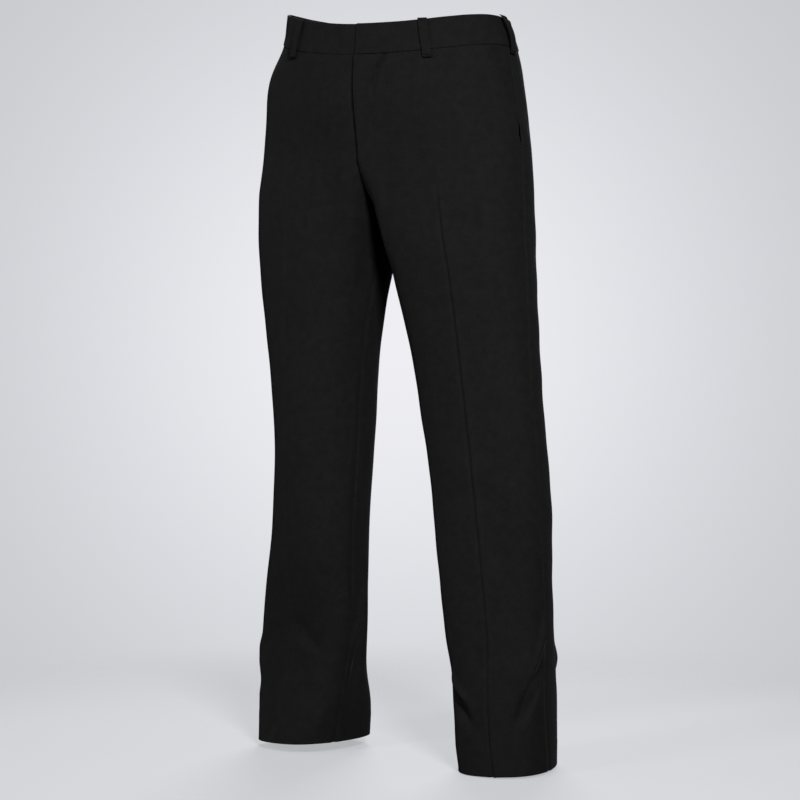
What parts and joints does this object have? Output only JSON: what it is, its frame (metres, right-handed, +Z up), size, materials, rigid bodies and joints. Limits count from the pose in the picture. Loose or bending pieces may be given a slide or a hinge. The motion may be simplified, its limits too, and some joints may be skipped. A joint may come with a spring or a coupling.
{
  "type": "chef trousers",
  "caption": "Black chef trousers, filled out with no wearer: plain waistband with belt loops, lapped fly, slanted front pockets, pressed front creases and open hems.",
  "frame": {"origin": "centre of the waist ring, at the middle height of the waistband", "axes": "+X the wearer's left, -Y the front of the trousers, +Z up the body"},
  "size_m": [0.4831, 0.24, 1.0642],
  "materials": {
    "suiting": "matt plain weave",
    "waistband": "matt plain weave, doubled",
    "pocket_facing": "matt plain weave",
    "belt_loops": "matt plain weave, folded",
    "zip": "matt woven tape"
  },
  "bodies": {
    "root": {"front_left": "suiting", "front_right": "suiting", "back_left": "suiting", "back_right": "suiting", "waistband_left": "waistband", "waistband_right": "waistband", "pocket_left": "pocket_facing", "pocket_right": "pocket_facing", "belt_loop_front_left": "belt_loops", "belt_loop_front_right": "belt_loops", "belt_loop_side_left": "belt_loops", "belt_loop_side_right": "belt_loops", "belt_loop_back_left": "belt_loops", "belt_loop_back_right": "belt_loops", "belt_loop_centre_back": "belt_loops", "zip": "zip"}
  },
  "joints": []
}
